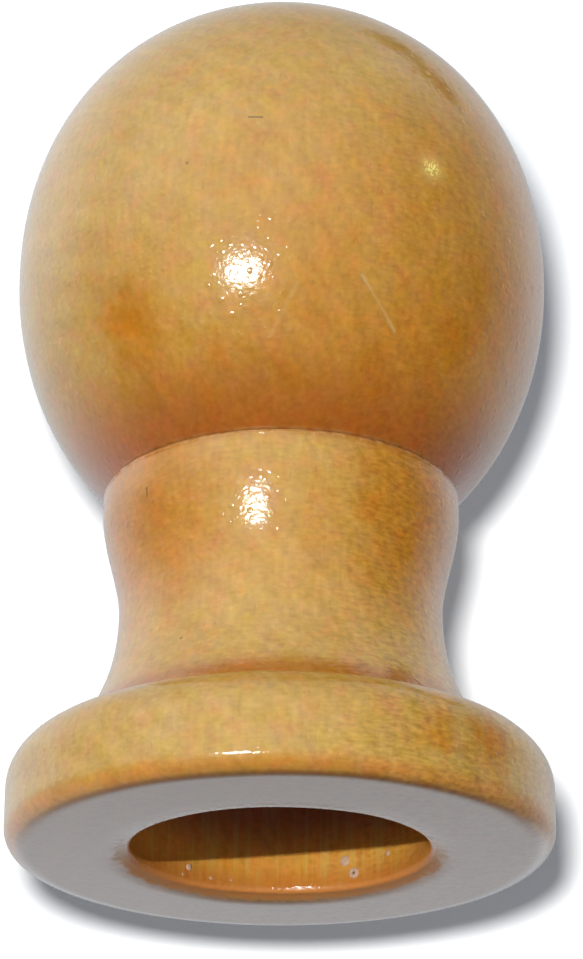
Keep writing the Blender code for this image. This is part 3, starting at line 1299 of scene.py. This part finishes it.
# %% Make a lamp beside the camera
def add_flash(name, offset, power, size, lit):
    """A small lamp beside the camera, placed by its offset to the right, up and back in mm."""
    lamp = bpy.data.lights.new(name, "POINT")
    lamp.energy = power
    lamp.shadow_soft_size = size * MM
    flash = add_lamp(name, lamp, lit)
    flash.location = camera.matrix_world @ (Vector(offset) * MM)


print("lamps so far:", len(bpy.data.lights))

# %% Set the lamps
# Each sun has its azimuth, its elevation, its strength, its spread and the share that it lights.
SUNS = {"key": (-16.3, -8.5, 1.55, 0.9, "matt"),
        "key_in_lacquer_left": (-19.3, -8.5, 0.8, 8.5, "gloss"),
        "key_in_lacquer_right": (-13.3, -8.5, 0.8, 8.5, "gloss"),
        "left_fill": (-45, 5, 0.34, 50, "matt"), "right_fill": (80, 5, 0.12, 50, "matt"),
        "left_back_fill": (-150, 30, 0.95, 40, "matt"),
        "right_back_fill": (150, 30, 1.2, 40, "matt")}
FLOOR_LAMP = (-30, 65, 4.0, 24)
BOARD_FLASH_OFFSET = (-8.2, 16.4, 0.0)
BOARD_FLASH_POWER = 6.4
BOARD_FLASH_SIZE = 8.0

for sun_name, (azimuth, elevation, strength, spread, share) in SUNS.items():
    add_sun(sun_name, azimuth, elevation, strength, spread, (finial, drops),
            matt=share == "matt", gloss=share == "gloss")
add_sun("floor_lamp", *FLOOR_LAMP, [floor])
add_flash("board_flash", BOARD_FLASH_OFFSET, BOARD_FLASH_POWER, BOARD_FLASH_SIZE, [board])

# %% [markdown]
# ## What the lacquer reflects
#
# Glossy lacquer shows its surroundings, and a plain white world would wash the wood out evenly. The
# surroundings here are soft round patches of light in the directions where a room is pale, and darker
# shades that cut an opening, a doorway and the low front out of them. Such patches are quick to move
# until the gloss looks right, where a whole room would have to be modelled. The camera sees plain
# white, and the wood's own colour is lit by a separate faint glow.

# %% Name the patches and the shades
# Each patch has its azimuth, its elevation, its sharpness and its strength.
PATCHES = {"front_wall": (-14, 29, 2.8, 1.60), "left_window": (-57, 29, 16.5, 0.85),
           "left_curtain": (-106, 25, 22.7, 0.80), "left_back": (-131, 40, 4.0, 1.16),
           "left_floor": (-136, -18, 5.9, 1.17), "right_wall": (130, 2, 6.8, 1.04),
           "right_high": (133, 39, 10.8, 0.60), "back_left_low": (-171, -13, 30.0, 0.78),
           "back_right_low": (163, -15, 30.0, 1.15), "haze_round_key": (-16, -8, 26.0, 0.9),
           "right_spot": (97, 62, 34.0, 0.55)}
PATCH_TINT = (0.92, 0.99, 1.06)
LIGHT_LEAST = 0.02
# Each shade has its azimuth, its elevation, its inner and outer angle and its depth.
SHADES = {"opening": (122, 54, 4.0, 7.0, 0.95), "opening_end": (138, 61, 4.0, 7.0, 0.90),
          "doorway": (72, 4, 22.0, 33.0, 0.70), "below_window": (-72, -20, 12.0, 25.0, 0.75),
          "low_front": (-10, -60, 16.0, 30.0, 0.40)}
print("patches of light:", sorted(PATCHES), "shades:", sorted(SHADES))

# %% Set the surroundings
GLOW_TOWARDS = (34, 8)
GLOW_EVEN = 0.067
GLOW_SIDED = 0.18
GLOW_LEAST = 0.01


def alike(direction, azimuth, elevation):
    """How alike two directions are: 1 where they are the same, and -1 where they are opposite."""
    return vector_math("DOT_PRODUCT", direction, tuple(towards(azimuth, elevation)), 1)


def patch(direction, azimuth, elevation, sharpness):
    """A round soft patch of light, 1 at its middle."""
    away = alike(direction, azimuth, elevation) - 1.0
    return direction.math("EXPONENT", away * sharpness)


def shade(direction, azimuth, elevation, inner, outer):
    """A round shade: 1 within its inner angle and 0 beyond its outer one."""
    cosines = [math.cos(math.radians(angle)) for angle in (outer, inner)]
    return fade(alike(direction, azimuth, elevation), *cosines)


def reflected_light(direction):
    """What the gloss sees in a direction: the patches, less the shades."""
    light = None
    for azimuth, elevation, sharpness, strength in PATCHES.values():
        more = patch(direction, azimuth, elevation, sharpness) * strength
        light = more + LIGHT_LEAST if light is None else light + more
    for azimuth, elevation, inner, outer, depth in SHADES.values():
        light = light * (1.0 - shade(direction, azimuth, elevation, inner, outer) * depth)
    return mix_colour(1.0, grey(light), PATCH_TINT, "MULTIPLY")


def surroundings():
    """A world that is white to the camera, patchy to the gloss and faint to the wood."""
    world = bpy.data.worlds.new("surroundings")
    world.use_nodes = True
    world.cycles.sampling_method = "NONE"
    start = Wire(world.node_tree)
    direction = start.node("ShaderNodeTexCoord", output="Generated")
    sided = alike(direction, *GLOW_TOWARDS)
    glow = grey(at_least(GLOW_EVEN + sided * GLOW_SIDED, GLOW_LEAST))
    diffuse = start.node("ShaderNodeLightPath", output="Is Diffuse Ray")
    seen = start.node("ShaderNodeLightPath", output="Is Camera Ray")
    colour = mix_colour(diffuse, reflected_light(direction), glow)
    colour = mix_colour(seen, colour, WHITE_LIGHT)
    background = world.node_tree.nodes["Background"]
    world.node_tree.links.new(colour.socket, background.inputs["Color"])
    return world


bpy.context.scene.world = surroundings()
bpy.context.scene.view_settings.view_transform = "Standard"
bpy.context.scene.view_settings.look = "None"
print("nodes in the world:", len(bpy.context.scene.world.node_tree.nodes))
